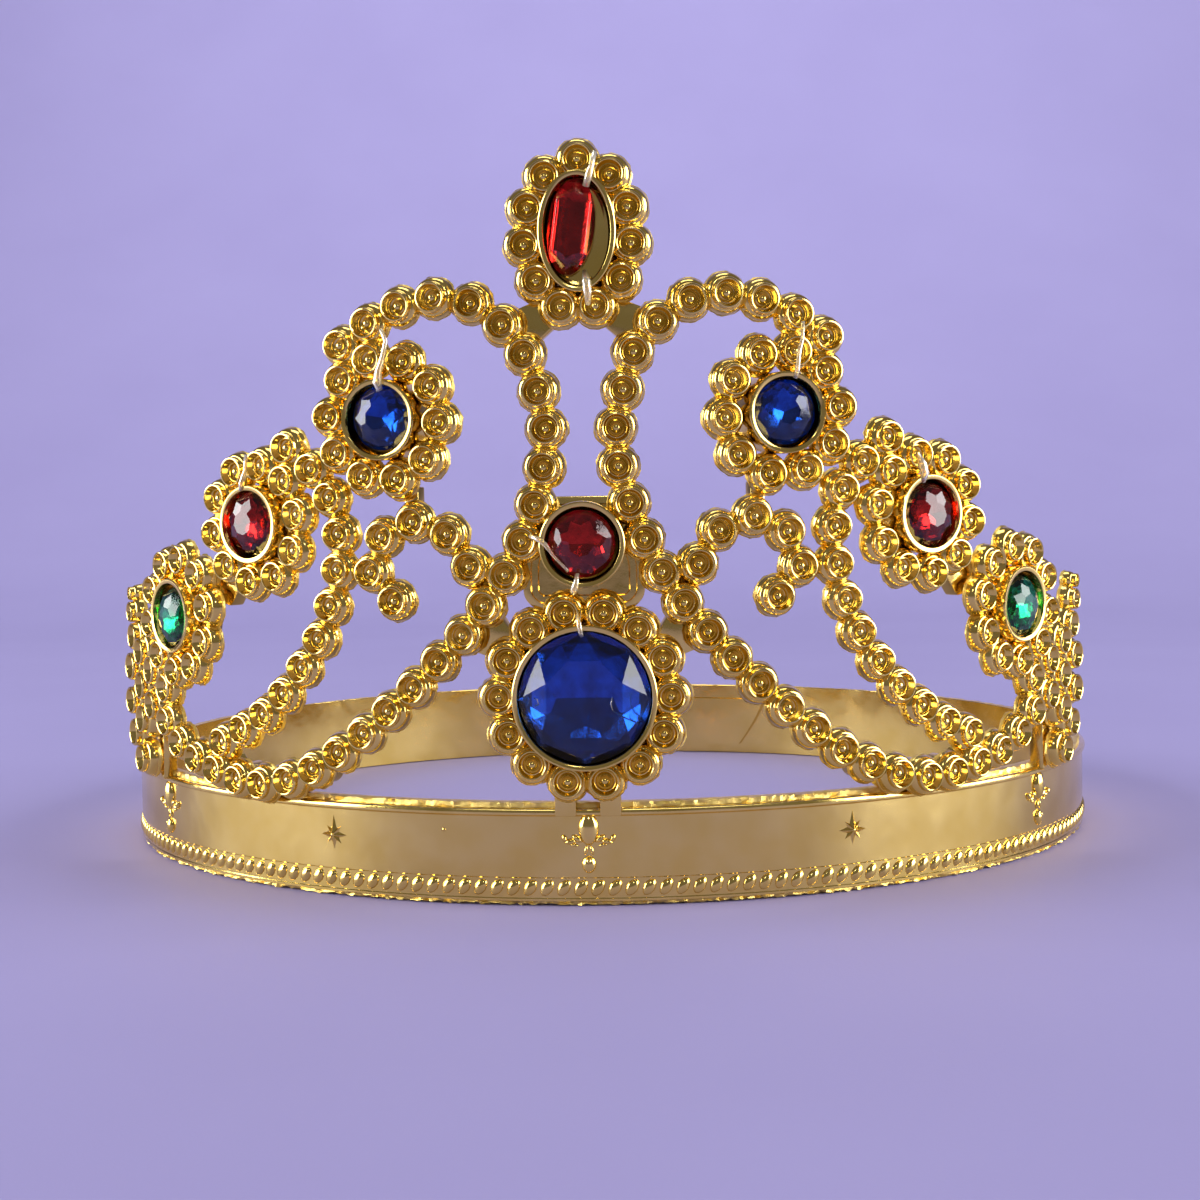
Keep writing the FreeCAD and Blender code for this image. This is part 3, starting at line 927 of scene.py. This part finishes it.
def sweep():
    """Floor that curves up into the backdrop."""
    line = [(SWEEP_FRONT, 0.0)]
    for k in range(SWEEP_STEPS + 1):
        a = math.pi / 2 * k / SWEEP_STEPS
        line.append((SWEEP_BEND + SWEEP_RADIUS * math.sin(a), SWEEP_RADIUS * (1 - math.cos(a))))
    line.append((SWEEP_BEND + SWEEP_RADIUS, SWEEP_TOP))
    columns = (-SWEEP_HALF, -SWEEP_HALF / 3, SWEEP_HALF / 3, SWEEP_HALF)
    points = []
    for y, z in line:
        for x in columns:
            points.append((x * MM, y * MM, z * MM))
    n = len(columns)
    faces = []
    for k in range(len(line) - 1):
        for j in range(n - 1):
            a = k * n + j
            faces.append([a, a + 1, a + n + 1, a + n])
    mesh = bpy.data.meshes.new("sweep")
    mesh.from_pydata(points, [], faces)
    mesh.materials.append(sweep_material())
    mesh.shade_smooth()
    placed("sweep", mesh)


def lamp(name, place, aim, width, height, power):
    """Soft box of a width and height in millimetres that points at a place."""
    data = bpy.data.lights.new(name, "AREA")
    data.shape = "RECTANGLE"
    data.size = width * MM
    data.size_y = height * MM
    data.energy = power
    thing = placed(name, data)
    thing.location = Vector(place) * MM
    way = Vector(aim) * MM - thing.location
    thing.rotation_euler = way.to_track_quat("-Z", "Y").to_euler()


def world():
    """Even light from all round."""
    made = bpy.data.worlds.new("room")
    bpy.context.scene.world = made
    made.use_nodes = True
    back = made.node_tree.nodes["Background"]
    back.inputs["Color"].default_value = (*ROOM_COLOUR, 1)
    back.inputs["Strength"].default_value = ROOM_STRENGTH


def camera():
    """Camera at the photograph's angle; roll turns it about its own line of sight."""
    data = bpy.data.cameras.new("view")
    data.lens = CAMERA_LENS
    data.sensor_width = CAMERA_SENSOR
    data.sensor_fit = "HORIZONTAL"
    data.clip_start = 0.01
    data.clip_end = 20.0
    thing = placed("view", data)
    turn = math.radians(CAMERA_TURN)
    dip = math.radians(CAMERA_DIP)
    roll = math.radians(CAMERA_ROLL)
    level = math.cos(dip)
    ahead = Vector((-math.sin(turn) * level, math.cos(turn) * level, -math.sin(dip)))
    right = Vector((math.cos(turn), math.sin(turn), 0))
    up = right.cross(ahead)
    across = right * math.cos(roll) + up * math.sin(roll)
    above = -right * math.sin(roll) + up * math.cos(roll)
    pose = Matrix((across, above, -ahead)).transposed().to_4x4()
    pose.translation = Vector(CAMERA_PLACE) * MM
    thing.matrix_world = pose
    bpy.context.scene.camera = thing


gold_face = gold("gold_polished", 0.10, 0.17, 0.10, 0.006)
gold_grain = gold("gold_grainy", 0.28, 0.42, 0.15, 0.10)
golds = [gold_face, gold_grain]

for label, side in (("left", 1), ("right", -1)):
    shell = Shell()
    side_beads(shell, side)
    shell.piece("%s_bead_work" % label, golds, "crown_frame")
shell = Shell()
middle_beads(shell)
shell.piece("middle_bead_work", golds, "crown_frame")

shell = Shell()
band(shell)
lap(shell)
gadroons(shell)
for angle in STAR_PLACES:
    star(shell, angle)
for angle in FLEUR_PLACES:
    fleur(shell, angle)
drop(shell, on_band(*PIMPLE_PLACE), PIMPLE_HALF, 0.0, 10, 4)
shell.piece("band_moulding", golds, "crown_frame")

shell = Shell()
webs(shell)
for side in (-1, 1):
    for s, z, phase in (BLUE_RING, RED_RING, GREEN_RING):
        cup(shell, side * s, z, SMALL_CUP, SMALL_CUP)
cup(shell, 0.0, LARGE_RING_HEIGHT, LARGE_CUP, LARGE_CUP, 120)
cup(shell, 0.0, CENTRE_CUP_HEIGHT, CENTRE_CUP, CENTRE_CUP)
cup(shell, 0.0, OVAL_CUP_HEIGHT, OVAL_CUP[0], OVAL_CUP[1], 96)
shell.piece("cups_and_webs", golds, "crown_frame")

blue = gem("blue_stone", BLUE_COLOURS)
red = gem("red_stone", RED_COLOURS)
green = gem("green_stone", GREEN_COLOURS)
foil = foil_material()
# Name, material, slot, side, ring and how far the stone sits off its cup's centre
SMALL_STONES = [
    ("left_blue_gem", blue, "blue_gem", 1, BLUE_RING, (-0.1, 0.05)),
    ("right_blue_gem", blue, "blue_gem", -1, BLUE_RING, (0.25, 0.25)),
    ("left_red_gem", red, "red_gem", 1, RED_RING, (0.3, -0.15)),
    ("right_red_gem", red, "red_gem", -1, RED_RING, (-0.2, 0.2)),
    ("left_green_gem", green, "green_gem", 1, GREEN_RING, (0.15, -0.25)),
    ("right_green_gem", green, "green_gem", -1, GREEN_RING, (0.1, -0.3)),
]
for name, paint, slot_name, side, where, shift in SMALL_STONES:
    place = wrap(side * where[0] + shift[0], where[1] + shift[1], FLOOR_RADIUS + STONE_REST,
                 rng.uniform(0, 45))
    stone_piece(name, round_stone(SMALL_STONE), place, [paint, foil])
place = wrap(CENTRE_STONE_SHIFT[0], CENTRE_CUP_HEIGHT + CENTRE_STONE_SHIFT[1],
             FLOOR_RADIUS + STONE_REST, CENTRE_STONE_TURN)
stone_piece("centre_red_gem", round_stone(CENTRE_STONE), place, [red, foil])
place = wrap(0, LARGE_RING_HEIGHT, FLOOR_RADIUS)
stone_piece("large_blue_gem", star_stone(LARGE_STONE), place, [blue, foil])
place = wrap(OVAL_STONE_SHIFT[0], OVAL_CUP_HEIGHT + OVAL_STONE_SHIFT[1], FLOOR_RADIUS,
             OVAL_STONE_TURN)
stone_piece("oval_red_gem", oval_stone(*OVAL_STONE), place, [red, foil],
            OVAL_STONE_EDGE)

# Glue: s, z, distance from the crown's axis and half thickness of each place along a string
GLUE_STRINGS = [
    [(2.8, 113.4, 94.9, 0.35), (2.4, 111.4, 95.5, 0.4), (1.9, 109.9, 95.8, 0.55),
     (1.5, 108.3, 95.2, 0.45)],
    [(1.1, 96.0, 93.6, 0.4), (1.3, 94.4, 95.5, 0.65), (1.45, 92.9, 95.5, 0.6),
     (1.5, 91.0, 94.9, 0.35)],
    [(-30.5, 88.4, 94.9, 0.3), (-29.9, 86.6, 94.7, 0.35), (-30.3, 84.4, 94.9, 0.4),
     (-30.9, 82.0, 95.4, 0.55), (-31.0, 80.4, 95.7, 0.75), (-30.8, 79.2, 95.2, 0.5)],
    [(34.1, 88.4, 94.9, 0.28), (34.1, 86.0, 94.7, 0.3), (33.4, 83.6, 95.0, 0.3),
     (32.9, 81.2, 95.6, 0.4), (32.6, 79.8, 95.4, 0.3)],
    [(-56.9, 70.0, 95.0, 0.25), (-57.2, 67.6, 94.9, 0.3), (-57.5, 65.6, 95.6, 0.35),
     (-57.8, 64.4, 95.5, 0.3)],
    [(54.4, 68.4, 94.9, 0.3), (54.8, 66.6, 95.3, 0.75), (55.0, 65.2, 95.6, 0.7),
     (55.0, 63.9, 95.1, 0.4)],
    [(-7.8, 56.9, 94.8, 0.25), (-6.3, 56.4, 95.6, 0.4), (-5.3, 55.6, 95.8, 0.35),
     (-4.4, 54.1, 95.2, 0.22), (-3.0, 52.6, 95.3, 0.2), (-2.1, 51.6, 95.0, 0.3)],
    [(-0.7, 51.2, 95.1, 0.3), (-0.9, 50.0, 95.7, 0.45), (-1.3, 48.9, 95.5, 0.6),
     (-1.4, 48.3, 95.0, 0.4)],
    [(-0.9, 45.0, 94.8, 0.25), (-0.6, 43.6, 95.6, 0.35), (-0.4, 42.5, 95.5, 0.35),
     (-0.3, 41.9, 94.9, 0.3)],
    [(4.1, 32.9, 96.6, 0.09), (3.9, 31.8, 96.6, 0.11), (4.2, 30.7, 96.6, 0.1),
     (5.5, 29.9, 96.55, 0.11), (7.6, 28.8, 95.2, 0.09)],
    [(-7.4, 32.7, 95.8, 0.1), (-6.9, 32.6, 96.15, 0.13), (-6.7, 31.8, 96.2, 0.12),
     (-7.3, 31.5, 95.9, 0.1)],
]
shell = Shell()
for places in GLUE_STRINGS:
    string(shell, places)
shell.piece("glue_strings", [glue_material()], None, crease=180.0)

sweep()
lamp("left_box", (-900, -190, 310), (0, -60, 150), 860, 610, 14.5)
lamp("right_box", (900, -190, 310), (0, -60, 150), 860, 610, 14.5)
lamp("front_spot", (30, -640, 420), (0, 0, 60), 80, 80, 0.25)
lamp("top_box", (0, 100, 900), (0, 0, 40), 500, 360, 1.6)
lamp("back_wash", (0, 650, 1000), (0, 1500, 350), 1600, 300, 9.0)
world()
camera()
bpy.context.scene.view_settings.view_transform = "Standard"
